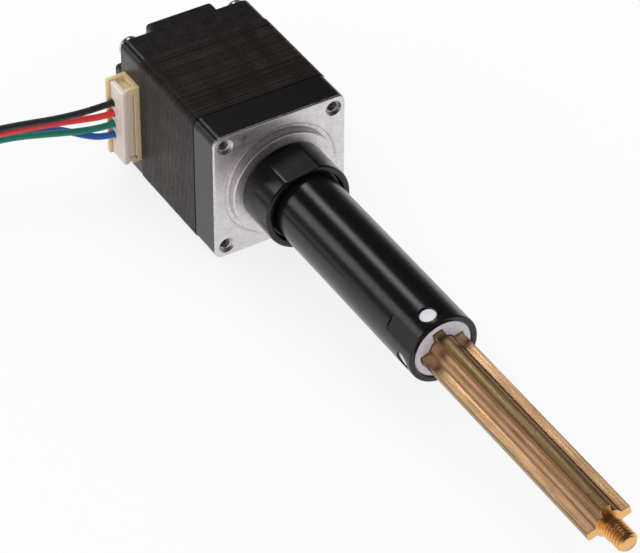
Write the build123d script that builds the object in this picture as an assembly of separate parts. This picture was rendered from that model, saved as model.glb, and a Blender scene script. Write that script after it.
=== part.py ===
from build123d import *
import os
from math import cos, pi, radians, sin, sqrt, tan

# Captive linear actuator: a 28 mm square hybrid stepper motor whose rotor carries a drive nut.
# The nut draws a lead screw in and out, the screw ends in a splined brass rod, and a splined
# bush at the end of a guide tube keeps the rod from turning. Sizes in millimetres.
# Origin: centre of the front mounting face. +X points out along the rod, +Z is up, and the
# motor lies on its -Z side. The lead connector is on the -Y side.

# Motor frame
FRAME = 28.0            # side of the square motor
CORNER_R = 1.7          # rounding of its long edges
HOLE_PITCH = 23.0       # mounting holes, centre to centre
HOLE_R = 1.25           # M2.5 thread
HOLE_SINK_R = 1.65      # mouth of each countersink
BELL_LEN = 7.4          # front end bell
STACK_LEN = 20.7        # lamination stack
COVER_LEN = 7.3         # rear cover, up to its corner notches
CROSS_LEN = 2.7         # how far the rear cover stands out between the notches
CROSS_W = 12.0          # width of each arm between the notches
CROSS_EDGE_R = 0.7
BOSS_R = 11.0           # 22 mm pilot boss
BOSS_LEN = 1.9
RELIEF_R = 12.0         # turned ring round the boss
RELIEF_DEPTH = 0.15
CAVITY_R = 12.2         # room for the end turns in both end pieces
CAVITY_LEN = 2.2
BEARING_WALL = 1.2      # wall round each bearing seat
GROOVE_LEN = 2.0        # room round the bearing wall, past the cavity

# Stator and windings
STATOR_BORE_R = 7.6
SHOE_LEN = 1.0          # radial thickness of the pole shoes
SLOT_R = 12.0           # bottom of the winding slots
POLES = 8
POLE_W = 3.0
SLOT_GAP = 1.3          # opening between neighbouring shoes
POLE_TEETH = 5
TOOTH_DEPTH = 0.35
ROTOR_TEETH = 50
INSULATOR_LEN = 0.8
COIL_GAP = 0.1          # clearance of a coil from its pole
COIL_BUILD = 1.1        # thickness of a coil round its pole
COIL_IN_R = 8.85
COIL_OUT_R = 11.4

# Rotor
AIR_GAP = 0.12
SHAFT_R = 4.6
SHAFT_BORE_R = 3.0
CORE_LEN = 8.0
MAGNET_LEN = 3.4
MAGNET_R = 6.4
NUT_LEN = 14.0

# Bearings, 8 x 16 x 4
BEARING_BORE_R = 4.0
BEARING_R = 8.0
BEARING_W = 4.0
BEARING_SECTION = BEARING_R - BEARING_BORE_R
RING_WALL = 0.3125 * BEARING_SECTION
BALL_R = 0.25 * BEARING_SECTION
BALL_COUNT = 8
BALL_PLAY = 0.04
CAGE_WALL = 0.175 * BEARING_SECTION
CAGE_W = 2.8
WASHER_T = 0.35         # wave washer strip
WASHER_WAVE = 0.15      # half height of its waves
WASHER_WAVES = 3
WASHER_SECTIONS = 5     # sections lofted over half a wave
WASHER_EDGE = 0.1 * BEARING_SECTION

# Splined rod, which sets the sizes of the bush, tube and collar round it
ROD_CORE_R = 2.77
SPLINE_R = 4.45
SPLINE_W = 1.92
SPLINE_COUNT = 4
ROD_TURN = 16.0         # degrees
ROD_OUT = 50.3          # rod standing out of the tube, as extended

# Guide tube and collar
BUSH_WALL = 1.35        # bush beyond the splines
TUBE_WALL = 1.2
TUBE_BORE_R = SPLINE_R + BUSH_WALL
TUBE_R = TUBE_BORE_R + TUBE_WALL
TUBE_END_X = 56.1
TUBE_FLAT_CUT = 0.225   # depth of each flat at the tube's end
TUBE_FLAT_LEN = 8.2
TUBE_TURN = 152.6       # degrees, direction of one flat
COLLAR_WALL = 1.9
COLLAR_LEN = 8.5
COLLAR_FLAT_CUT = 0.8   # depth of each wrench flat
COLLAR_TURN = 8.0       # degrees, where the collar came to rest when screwed in
SPIGOT_WALL = 0.5
SPIGOT_LEN = 3.0
LIP_LEN = 1.4
LIP_WALL = 0.9          # lip that stops the tube's rear end
MOUTH_GAP = 0.6         # recess round the tube in the collar's front face
MOUTH_LEN = 1.5
COLLAR_R = TUBE_R + COLLAR_WALL
SPIGOT_R = TUBE_R + SPIGOT_WALL

# Splined guide bush
BUSH_LEN = 5.6
BUSH_RECESS = 0.3
BUTTON_R = 1.55         # moulded buttons that fill the tube's side holes
BUTTON_X = 53.2
BUTTON_TURN = 104.5     # degrees, direction of the first button
BUTTON_COUNT = 4
BUTTON_SINK = 0.2
RUNNING = 0.05          # radial running clearance

# Rod end, stop and lead screw
STUD_R = 2.0            # M4
STUD_LEN = 5.6
STUD_NECK_R = 1.6
STUD_NECK_LEN = 0.8
STUD_CHAMFER = 0.5
STOP_CLEAR = 0.3        # between the stop and the tube's bore
STOP_LEN = 2.0
STOP_GAP = 0.3          # left between the stop and the bush when extended
STROKE = 48.0
SCREW_R = 2.38
SCREW_TAIL_X = -30.0    # rear end of the screw, extended
SCREW_PIN_R = 1.5       # turned end that fits in the rod
SCREW_PIN_LEN = 10.0
SCREW_EXIT_R = 2.9      # hole in the rear cover that the screw passes
LEAD = 6.35             # travel of the screw in one turn of the rotor

# Through screws
SCREW_SHANK_R = 1.2
SCREW_CORE_R = 1.0      # core of the M2.5 thread where it is screwed in
SCREW_HEAD_R = 2.2
SCREW_HEAD_LEN = 1.5
MOUNT_DEPTH = 4.4       # thread left free for the mounting screws
ENGAGED_START = 4.0     # deeper than this the through screws fill the thread
CLEAR_HOLE_R = 1.35
RECESS_W = 0.5
RECESS_SPAN = 2.2
RECESS_DEPTH = 0.7

# Connector
PIN_COUNT = 6
PIN_PITCH = 2.5
PIN_W = 0.64
HEADER_Z = -0.7         # middle of the header
HEADER_L = 17.4
HEADER_W = 5.75
HEADER_OUT = 4.2        # height of the header over the motor's side
HEADER_SINK = 0.8       # depth of its base below the motor's side
HEADER_BASE = 1.6
HEADER_WALL = 0.8
HEADER_LIP = 1.2        # height of the low wall over the base
HEADER_GAP = 0.15       # between the header and the stack
PORT_GAP = 0.15         # clearance round the header in the cover
PORT_DEPTH = 3.0
BOARD_T = 1.0
BOARD_INSET = 0.6
PIN_TAIL = 0.6
PIN_OUT = 1.8           # tip of each pin over the motor's side
PLUG_GAP = 0.1
PLUG_OUT = 3.6          # outer face of the plug over the motor's side
PLUG_FLANGE = 1.5
WIRE_ROW = 1.7          # wire row from the header's far side
TERMINAL_W = 1.1
TERMINAL_LEN = 1.0
TERMINAL_GAP = 0.05
WIRE_COUNT = 4

# Leads: each 0.3 m, from the plug over the near floor into one tied coil
WIRE_R = 0.65
WIRE_HOLE_R = 0.75
WIRE_STRAIGHT = 2.0     # length that leaves the plug straight
FLOOR_Z = -FRAME / 2
TIE_T = 0.5
TIE_W = 2.4
TIE_GAP = 0.1
COIL_X = -34.0
COIL_Y = -65.0
TURN_OUT_R = 15.5
TURN_IN_R = 10.2
LAYER = 1.4             # height of one layer of the lead coil
TIE_TURN = 300.0
TIP_R = 0.35
TIP_LEN = 4.0
TIP_GAP = 0.3           # between a tip and the coil
TIP_TURNS = [120.0, 108.0, 96.0, 84.0]
TIP_SLANT = 35.0        # degrees between a tip and the coil's radius

# Places along the axis
STACK_FRONT = -BELL_LEN
STACK_REAR = STACK_FRONT - STACK_LEN
COVER_REAR = STACK_REAR - COVER_LEN
CROSS_REAR = COVER_REAR - CROSS_LEN
COLLAR_FRONT = BOSS_LEN + COLLAR_LEN
SPIGOT_REAR = BOSS_LEN - SPIGOT_LEN
TUBE_REAR = SPIGOT_REAR + LIP_LEN
FRONT_SEAT = SPIGOT_REAR - 0.1
FRONT_CAVITY = STACK_FRONT + CAVITY_LEN
REAR_CAVITY = STACK_REAR - CAVITY_LEN
REAR_BEARING = REAR_CAVITY - 0.2 - BEARING_W
REAR_SEAT = REAR_BEARING - WASHER_T - 2 * WASHER_WAVE
SHAFT_FRONT = SPIGOT_REAR + 0.2
SHAFT_REAR = REAR_BEARING
CORE_FRONT = STACK_FRONT - (STACK_LEN - 2 * CORE_LEN - MAGNET_LEN) / 2
MAGNET_FRONT = CORE_FRONT - CORE_LEN
CORE_REAR_FRONT = MAGNET_FRONT - MAGNET_LEN
BUSH_FRONT = TUBE_END_X - BUSH_RECESS
BUSH_REAR = BUSH_FRONT - BUSH_LEN
ROD_END = TUBE_END_X + ROD_OUT
STUD_END = ROD_END + STUD_LEN
STOP_FRONT = BUSH_REAR - STOP_GAP
STOP_REAR = STOP_FRONT - STOP_LEN
HEADER_FRONT = STACK_REAR - HEADER_GAP
HEADER_REAR = HEADER_FRONT - HEADER_W
SIDE_Y = -FRAME / 2
WIRE_X = HEADER_REAR + WIRE_ROW
PLUG_FACE_Y = SIDE_Y - PLUG_OUT
BASE_TOP_Y = SIDE_Y + HEADER_SINK - HEADER_BASE
PLUG_SEAT_Y = BASE_TOP_Y - PLUG_GAP
TERMINAL_Y = PLUG_SEAT_Y - TERMINAL_LEN
COIL_Z = FLOOR_Z + TIE_T
COIL_H = (WIRE_COUNT - 1) * LAYER + 2 * WIRE_R


def prism(face, x0, x1):
    """Carry a face, drawn in Y and Z, along X from x0 to x1."""
    return extrude(Plane.YZ.offset(x0) * face, amount=x1 - x0)


def disc(r, x0, x1):
    return prism(Circle(r), x0, x1)


def ring(r_out, r_in, x0, x1):
    return prism(Circle(r_out) - Circle(r_in), x0, x1)


def block(x0, x1, y0, y1, z0, z1):
    """A box between two corners."""
    size = Box(x1 - x0, y1 - y0, z1 - z0)
    return Pos((x0 + x1) / 2, (y0 + y1) / 2, (z0 + z1) / 2) * size


def turned(shape, angle):
    """Turn a shape about the motor's axis, in degrees from +Y towards +Z."""
    return Rot(angle, 0, 0) * shape


def frame_face():
    return RectangleRounded(FRAME, FRAME, CORNER_R)


def corner_places():
    """The four screw places, as Y and Z."""
    half = HOLE_PITCH / 2
    return [(y, z) for y in (-half, half) for z in (-half, half)]


def front_bell():
    bell = prism(frame_face(), -BELL_LEN, 0)
    bell -= ring(RELIEF_R, BOSS_R - 0.5, -RELIEF_DEPTH, 0)
    bell += disc(BOSS_R, -1, BOSS_LEN)
    bell -= disc(SPIGOT_R, SPIGOT_REAR - 1, BOSS_LEN)
    bell -= disc(BEARING_R, STACK_FRONT, FRONT_SEAT)
    bell -= disc(CAVITY_R, STACK_FRONT, FRONT_CAVITY)
    wall_r = BEARING_R + BEARING_WALL
    bell -= ring(CAVITY_R, wall_r, FRONT_CAVITY, FRONT_CAVITY + GROOVE_LEN)
    sink = HOLE_SINK_R - HOLE_R
    for y, z in corner_places():
        bell -= Pos(0, y, z) * disc(HOLE_R, -ENGAGED_START, 0)
        bell -= Pos(0, y, z) * disc(SCREW_CORE_R, -BELL_LEN, -ENGAGED_START)
        mouth = Pos(-sink / 2, y, z) * Rot(0, 90, 0) * Cone(HOLE_R, HOLE_SINK_R, sink)
        bell -= mouth
    return bell


def stator_face():
    """One lamination: yoke, poles and toothed shoes."""
    shoe_r = STATOR_BORE_R + SHOE_LEN
    face = frame_face() - Circle(SLOT_R)
    shoes = Circle(shoe_r) - Circle(STATOR_BORE_R)
    pitch = 360 / POLES
    stem_len = SLOT_R + 0.3 - STATOR_BORE_R - SHOE_LEN / 2
    for i in range(POLES):
        gap = Rectangle(2 * SHOE_LEN, SLOT_GAP)
        shoes -= Rot(0, 0, (i + 0.5) * pitch) * Pos(STATOR_BORE_R + SHOE_LEN / 2, 0) * gap
        stem = Rectangle(stem_len, POLE_W)
        face += Rot(0, 0, i * pitch) * Pos(SLOT_R + 0.3 - stem_len / 2, 0) * stem
    face += shoes
    tooth_pitch = 360 / ROTOR_TEETH
    notch_w = 2 * pi * STATOR_BORE_R / ROTOR_TEETH / 2
    notches = Sketch()
    for i in range(POLES):
        for k in range(POLE_TEETH - 1):
            angle = i * pitch + (k - (POLE_TEETH - 2) / 2) * tooth_pitch
            notch = Rectangle(2 * TOOTH_DEPTH, notch_w)
            notches += Rot(0, 0, angle) * Pos(STATOR_BORE_R, 0) * notch
    face -= notches
    for y, z in corner_places():
        face -= Pos(y, z) * Circle(CLEAR_HOLE_R)
    return face


def stator_stack():
    return prism(stator_face(), STACK_REAR, STACK_FRONT)


def insulator(x0, x1):
    """Moulded end frame: a rim, an arm over each pole and a lip that holds the coil."""
    rim_in = sqrt(COIL_OUT_R ** 2 + (POLE_W / 2 + COIL_GAP + COIL_BUILD) ** 2) + 0.05
    face = Circle(SLOT_R) - Circle(rim_in)
    lip_r = STATOR_BORE_R + SHOE_LEN
    arm_len = SLOT_R - 0.1 - lip_r
    for i in range(POLES):
        arm = Pos(lip_r + arm_len / 2, 0) * Rectangle(arm_len, POLE_W)
        lip_w = POLE_W + 2 * COIL_BUILD
        lip = Pos(lip_r, 0) * Rectangle(2 * (COIL_IN_R - lip_r - 0.05), lip_w)
        face += Rot(0, 0, i * 360 / POLES) * (arm + lip)
    return prism(face, x0, x1)


def coil_windings():
    """A coil wound round each pole, over the two end frames."""
    x0, x1 = STACK_REAR - INSULATOR_LEN, STACK_FRONT + INSULATOR_LEN
    half = POLE_W / 2 + COIL_GAP
    outer = block(x0 - COIL_BUILD, x1 + COIL_BUILD, COIL_IN_R, COIL_OUT_R,
                  -half - COIL_BUILD, half + COIL_BUILD)
    outer = fillet(outer.edges().filter_by(Axis.Y), COIL_BUILD * 0.8)
    coil = outer - block(x0, x1, COIL_IN_R - 1, COIL_OUT_R + 1, -half, half)
    return [turned(coil, i * 360 / POLES) for i in range(POLES)]


def rear_cover():
    cover = prism(frame_face(), COVER_REAR, STACK_REAR)
    cross = Rectangle(FRAME, CROSS_W) + Rectangle(CROSS_W, FRAME)
    cross = prism(cross & frame_face(), CROSS_REAR, COVER_REAR)
    rim = cross.faces().sort_by(Axis.X)[0].edges()
    cover += fillet(rim, CROSS_EDGE_R)
    cover -= disc(CAVITY_R, REAR_CAVITY, STACK_REAR)
    wall_r = BEARING_R + BEARING_WALL
    cover -= ring(CAVITY_R, wall_r, REAR_CAVITY - GROOVE_LEN, REAR_CAVITY)
    cover -= disc(BEARING_R, REAR_SEAT, STACK_REAR)
    cover -= disc(SCREW_EXIT_R, CROSS_REAR, STACK_REAR)
    for y, z in corner_places():
        cover -= Pos(0, y, z) * disc(CLEAR_HOLE_R, COVER_REAR, STACK_REAR)
    half = HEADER_L / 2 + PORT_GAP
    port = block(HEADER_REAR - PORT_GAP, STACK_REAR, SIDE_Y, SIDE_Y + PORT_DEPTH,
                 HEADER_Z - half, HEADER_Z + half)
    return cover - port


def through_screw():
    """Pan-head screw with a cross recess, lying along X with its head to the rear."""
    shank = disc(SCREW_SHANK_R, COVER_REAR, STACK_FRONT)
    shank += disc(SCREW_CORE_R, STACK_FRONT, -MOUNT_DEPTH)
    head = disc(SCREW_HEAD_R, COVER_REAR - SCREW_HEAD_LEN, COVER_REAR)
    head = fillet(head.edges().sort_by(Axis.X)[0], SCREW_HEAD_LEN * 0.5)
    cut = Rectangle(RECESS_SPAN, RECESS_W) + Rectangle(RECESS_W, RECESS_SPAN)
    bottom = COVER_REAR - SCREW_HEAD_LEN
    return shank + head - prism(cut, bottom, bottom + RECESS_DEPTH)


def bearing_rings(x0):
    """Outer and inner ring of a ball bearing whose rear face is at x0."""
    middle_r = (BEARING_BORE_R + BEARING_R) / 2
    track = Pos(x0 + BEARING_W / 2, 0, 0) * Rot(0, 90, 0) * Torus(middle_r, BALL_R + BALL_PLAY)
    outer = ring(BEARING_R, BEARING_R - RING_WALL, x0, x0 + BEARING_W) - track
    inner = ring(BEARING_BORE_R + RING_WALL, BEARING_BORE_R, x0, x0 + BEARING_W) - track
    return outer, inner


def bearing_balls(x0):
    """Balls and the cage that spaces them."""
    middle_r = (BEARING_BORE_R + BEARING_R) / 2
    x = x0 + BEARING_W / 2
    cage = ring(middle_r + CAGE_WALL / 2, middle_r - CAGE_WALL / 2, x - CAGE_W / 2, x + CAGE_W / 2)
    balls = []
    for i in range(BALL_COUNT):
        angle = radians(i * 360 / BALL_COUNT)
        place = Pos(x, middle_r * cos(angle), middle_r * sin(angle))
        balls.append(place * Sphere(BALL_R))
        cage -= place * Sphere(BALL_R + BALL_PLAY)
    return balls, cage


def wave_washer():
    """Three-wave spring that loads the rear bearing: half a wave, mirrored and repeated."""
    x = REAR_SEAT + WASHER_WAVE + WASHER_T / 2
    r_in, r_out = BEARING_BORE_R + RING_WALL + WASHER_EDGE, BEARING_R - WASHER_EDGE
    radius = (r_in + r_out) / 2
    sections = []
    for i in range(WASHER_SECTIONS):
        angle = pi / WASHER_WAVES * i / (WASHER_SECTIONS - 1)
        y, z = cos(angle), sin(angle)
        centre = (x + WASHER_WAVE * cos(WASHER_WAVES * angle), radius * y, radius * z)
        place = Plane(origin=centre, x_dir=(0, y, z), z_dir=(0, -z, y))
        sections.append(place * Rectangle(r_out - r_in, WASHER_T))
    half = loft(sections)
    wave = half + mirror(half, about=Plane.XY)
    washer = wave
    for i in range(1, WASHER_WAVES):
        washer += turned(wave, i * 360 / WASHER_WAVES)
    return washer


def rotor_shaft():
    shaft = disc(SHAFT_R, REAR_BEARING + BEARING_W, FRONT_SEAT - BEARING_W)
    shaft += disc(BEARING_BORE_R, SHAFT_REAR, SHAFT_FRONT)
    return shaft - disc(SHAFT_BORE_R, SHAFT_REAR, SHAFT_FRONT)


def drive_nut():
    return ring(SHAFT_BORE_R, SCREW_R + RUNNING, SHAFT_FRONT - NUT_LEN, SHAFT_FRONT)


def rotor_core(x0, turn):
    """Toothed half of the rotor, its teeth turned by part of a tooth."""
    tip_r = STATOR_BORE_R - AIR_GAP
    root_r = tip_r - TOOTH_DEPTH
    tooth_w = 2 * pi * tip_r / ROTOR_TEETH / 2
    face = Circle(root_r)
    for i in range(ROTOR_TEETH):
        tooth = Pos(root_r - 0.1 + (TOOTH_DEPTH + 0.1) / 2, 0)
        tooth *= Rectangle(TOOTH_DEPTH + 0.1, tooth_w)
        face += Rot(0, 0, i * 360 / ROTOR_TEETH + turn) * tooth
    return prism(face - Circle(SHAFT_R), x0, x0 + CORE_LEN)


def collar():
    body = disc(COLLAR_R, BOSS_LEN, COLLAR_FRONT)
    across = 2 * (COLLAR_R - COLLAR_FLAT_CUT)
    flats = prism(Rectangle(2 * COLLAR_R, across), BOSS_LEN, COLLAR_FRONT)
    body = turned(body & flats, COLLAR_TURN)
    body += disc(SPIGOT_R, SPIGOT_REAR, BOSS_LEN)
    body -= disc(TUBE_R - LIP_WALL, SPIGOT_REAR, COLLAR_FRONT)
    body -= disc(TUBE_R, TUBE_REAR, COLLAR_FRONT)
    return body - disc(TUBE_R + MOUTH_GAP, COLLAR_FRONT - MOUTH_LEN, COLLAR_FRONT)


def button_places():
    """Directions of the bush's buttons and of the tube's side holes, in degrees."""
    return [BUTTON_TURN + i * 360 / BUTTON_COUNT for i in range(BUTTON_COUNT)]


def radial_pin(r, r0, r1, angle):
    """A round pin along a radius at the buttons' place, from radius r0 to r1."""
    pin = Pos(BUTTON_X, (r0 + r1) / 2, 0) * Rot(90, 0, 0) * Cylinder(r, r1 - r0)
    return turned(pin, angle)


def guide_tube():
    tube = ring(TUBE_R, TUBE_BORE_R, TUBE_REAR, TUBE_END_X)
    end = disc(TUBE_R + 1, TUBE_END_X - TUBE_FLAT_LEN, TUBE_END_X)
    across = 2 * (TUBE_R - TUBE_FLAT_CUT)
    slab = prism(Rectangle(across, 2 * TUBE_R + 3), TUBE_END_X - TUBE_FLAT_LEN, TUBE_END_X)
    tube -= turned(end - slab, TUBE_TURN)
    for angle in button_places():
        tube -= radial_pin(BUTTON_R, TUBE_BORE_R - 1, TUBE_R + 1, angle)
    return tube


def rod_face(clearance=0.0):
    """Section of the splined rod, or of its hole, grown by a clearance."""
    face = Circle(ROD_CORE_R + clearance)
    bar = Rectangle(2 * SPLINE_R + 2, SPLINE_W + 2 * clearance)
    bars = Sketch()
    for i in range(SPLINE_COUNT // 2):
        bars += Rot(0, 0, i * 360 / SPLINE_COUNT) * bar
    face += bars & Circle(SPLINE_R + clearance)
    return Rot(0, 0, ROD_TURN) * face


def guide_bush():
    bush = disc(TUBE_BORE_R, BUSH_REAR, BUSH_FRONT)
    button_top = TUBE_R - TUBE_FLAT_CUT - BUTTON_SINK
    for angle in button_places():
        bush += radial_pin(BUTTON_R, TUBE_BORE_R - 1, button_top, angle)
    return bush - prism(rod_face(RUNNING), BUSH_REAR, BUSH_FRONT)


def splined_rod():
    rod = prism(rod_face(), STOP_FRONT, ROD_END)
    rod += disc(ROD_CORE_R, STOP_REAR, STOP_FRONT)
    rod += disc(STUD_NECK_R, ROD_END, ROD_END + STUD_NECK_LEN)
    stud = disc(STUD_R, ROD_END + STUD_NECK_LEN, STUD_END)
    stud = chamfer(stud.edges().filter_by(GeomType.CIRCLE), STUD_CHAMFER)
    return rod + stud - disc(SCREW_PIN_R, STOP_REAR, STOP_REAR + SCREW_PIN_LEN)


def stop_ring():
    """Shoulder that meets the bush at full stroke."""
    return ring(TUBE_BORE_R - STOP_CLEAR, ROD_CORE_R, STOP_REAR, STOP_FRONT)


def lead_screw():
    screw = disc(SCREW_R, SCREW_TAIL_X, STOP_REAR)
    screw = chamfer(screw.edges().filter_by(GeomType.CIRCLE).sort_by(Axis.X)[0], STUD_CHAMFER)
    return screw + disc(SCREW_PIN_R, STOP_REAR, STOP_REAR + SCREW_PIN_LEN)


def pin_heights():
    return [HEADER_Z + (PIN_COUNT - 1) / 2 * PIN_PITCH - i * PIN_PITCH for i in range(PIN_COUNT)]


def wire_heights():
    """The wires fill the middle places of the plug."""
    first = (PIN_COUNT - WIRE_COUNT) // 2
    return pin_heights()[first:first + WIRE_COUNT]


def header_ends():
    return HEADER_Z - HEADER_L / 2, HEADER_Z + HEADER_L / 2


def connector_header():
    """Base, a high wall at the rear, two end walls and a low wall at the front."""
    low, high = header_ends()
    rim_y = SIDE_Y - HEADER_OUT
    lip_y = BASE_TOP_Y - HEADER_LIP
    body = block(HEADER_REAR, HEADER_FRONT, BASE_TOP_Y, SIDE_Y + HEADER_SINK, low, high)
    body += block(HEADER_REAR, HEADER_REAR + HEADER_WALL, rim_y, BASE_TOP_Y, low, high)
    body += block(HEADER_REAR, HEADER_FRONT, rim_y, BASE_TOP_Y, high - HEADER_WALL, high)
    body += block(HEADER_REAR, HEADER_FRONT, lip_y, BASE_TOP_Y, low, low + HEADER_WALL)
    body += block(HEADER_FRONT - HEADER_WALL, HEADER_FRONT, lip_y, BASE_TOP_Y, low, high)
    for z in pin_heights():
        body -= pin_block(z, BASE_TOP_Y, SIDE_Y + HEADER_SINK)
    return body


def pin_block(z, y0, y1):
    half = PIN_W / 2
    return block(WIRE_X - half, WIRE_X + half, y0, y1, z - half, z + half)


def header_pins():
    top = SIDE_Y - PIN_OUT
    tail = SIDE_Y + HEADER_SINK + BOARD_T + PIN_TAIL
    return [pin_block(z, top, tail) for z in pin_heights()]


def winding_board():
    """Small circuit board that joins the coil ends to the pins."""
    low, high = header_ends()
    y = SIDE_Y + HEADER_SINK
    board = block(HEADER_REAR + BOARD_INSET, HEADER_FRONT - BOARD_INSET, y, y + BOARD_T,
                  low + BOARD_INSET, high - BOARD_INSET)
    for z in pin_heights():
        board -= pin_block(z, y, y + BOARD_T)
    return board


def connector_plug():
    """Wire housing pushed into the header, with a flange over the header's low wall."""
    low, high = header_ends()
    low += HEADER_WALL + PLUG_GAP
    high -= HEADER_WALL + PLUG_GAP
    rear = HEADER_REAR + HEADER_WALL + PLUG_GAP
    front = HEADER_FRONT - HEADER_WALL - PLUG_GAP
    body = block(rear, front, PLUG_FACE_Y, PLUG_SEAT_Y, low, high)
    flange_y = PLUG_SEAT_Y - HEADER_LIP
    body += block(front, HEADER_FRONT, PLUG_FACE_Y, flange_y, low, high)
    for z in pin_heights():
        body -= terminal_room(z)
    for z in wire_heights():
        body -= wire_hole(z)
    return body


def terminal_room(z):
    half = TERMINAL_W / 2 + TERMINAL_GAP
    return block(WIRE_X - half, WIRE_X + half, PLUG_FACE_Y + PLUG_FLANGE, PLUG_SEAT_Y,
                 z - half, z + half)


def wire_hole(z):
    depth = PLUG_FLANGE + 0.5
    hole = Rot(90, 0, 0) * Cylinder(WIRE_HOLE_R, depth)
    return Pos(WIRE_X, PLUG_FACE_Y + depth / 2, z) * hole


def crimp_terminals():
    """A folded sleeve on each of the four pins that carry a wire."""
    half = TERMINAL_W / 2
    sleeves = []
    for z in wire_heights():
        body = block(WIRE_X - half, WIRE_X + half, TERMINAL_Y, PLUG_SEAT_Y, z - half, z + half)
        sleeves.append(body - pin_block(z, TERMINAL_Y, PLUG_SEAT_Y))
    return sleeves


# Routes of the four leads after their straight start, up to the coil: X and Y, then heights
ROUTES = {
    "black": [(-32.8, -24.2), (-34.2, -29.3), (-36.6, -34.4), (-39.2, -39.5),
              (-42.0, -44.6), (-44.7, -49.9), (-46.8, -55.4), (-48.1, -61.6)],
    "red": [(-34.0, -24.4), (-35.6, -29.3), (-37.4, -34.6), (-39.6, -39.4),
            (-42.2, -44.7), (-44.9, -50.0), (-47.0, -55.4), (-48.1, -61.7)],
    "green": [(-33.5, -24.2), (-35.3, -28.8), (-37.9, -33.8), (-40.1, -38.9),
              (-42.6, -44.4), (-45.0, -50.0), (-47.1, -55.5), (-48.1, -61.8)],
    "blue": [(-34.4, -23.0), (-37.3, -26.1), (-39.4, -29.9), (-41.1, -34.0),
             (-42.6, -38.6), (-43.9, -43.9), (-45.5, -49.8), (-47.2, -55.6), (-48.1, -61.9)],
}
HEIGHTS = {
    "black": [2.8, 2.4, 1.7, 0.6, -1.9, -5.4, -7.7, -8.65],
    "red": [0.45, 0.35, 0.0, -0.9, -3.6, -6.9, -9.2, -10.05],
    "green": [-1.95, -1.9, -2.2, -2.8, -5.3, -8.6, -10.8, -11.45],
    "blue": [-4.0, -3.3, -3.1, -3.4, -4.4, -7.1, -10.3, -12.3, -12.85],
}


def wire_route(name, height):
    start = (WIRE_X, TERMINAL_Y, height)
    out = (WIRE_X, PLUG_FACE_Y - WIRE_STRAIGHT, height)
    return [start, out] + [(x, y, z) for (x, y), z in zip(ROUTES[name], HEIGHTS[name])]


def corner_radii(points):
    """Each arc takes 0.45 of the shorter of its two runs."""
    radii = []
    for a, b, c in zip(points, points[1:], points[2:]):
        first, second = Vector(*b) - Vector(*a), Vector(*c) - Vector(*b)
        turn = radians(first.get_angle(second))
        radii.append(0.45 * min(first.length, second.length) / tan(turn / 2))
    return radii


def lead_wire(name, height):
    points = wire_route(name, height)
    radii = corner_radii(points)
    path = FilletPolyline(*points, radius=radii)
    wire = sweep(Plane(origin=path @ 0, z_dir=path % 0) * Circle(WIRE_R), path=path)
    share = wire.volume / (path.length * pi * WIRE_R ** 2)
    print(name, "length", round(path.length, 1), "radii", [round(r, 1) for r in radii],
          "volume over section times length", round(share, 4))
    return wire


def lead_coil():
    """Outer shape of the four leads wound together."""
    face = Circle(TURN_OUT_R) - Circle(TURN_IN_R)
    return Pos(COIL_X, COIL_Y, COIL_Z) * extrude(face, amount=COIL_H)


def lead_tie():
    """Band round the coil's section."""
    width = TURN_OUT_R - TURN_IN_R + 2 * TIE_GAP
    band = Rectangle(width + 2 * TIE_T, COIL_H + 2 * TIE_T) - Rectangle(width, COIL_H)
    band = extrude(Plane.XZ * band, amount=TIE_W / 2, both=True)
    place = Pos((TURN_OUT_R + TURN_IN_R) / 2, 0, COIL_H / 2)
    return Pos(COIL_X, COIL_Y, COIL_Z) * Rot(0, 0, TIE_TURN) * place * band


def wire_tips():
    """Stripped and tinned ends, one in each layer, that point into the coil's middle."""
    tips = []
    for i, angle in enumerate(TIP_TURNS):
        tip = Pos(-TIP_LEN / 2, 0, 0) * Rot(0, 90, 0) * Cylinder(TIP_R, TIP_LEN)
        place = Pos(TURN_IN_R - TIP_GAP, 0, WIRE_R + i * LAYER) * Rot(0, 0, -TIP_SLANT)
        tips.append(Pos(COIL_X, COIL_Y, COIL_Z) * Rot(0, 0, angle) * place * tip)
    return tips


def write(name, shapes):
    """Write one node; a list becomes separate solids in it."""
    shapes = shapes if isinstance(shapes, list) else [shapes]
    solids = [solid for shape in shapes for solid in shape.solids()]
    export_step(Compound(children=solids) if len(solids) > 1 else solids[0],
                os.path.join("parts", name + ".step"))


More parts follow.
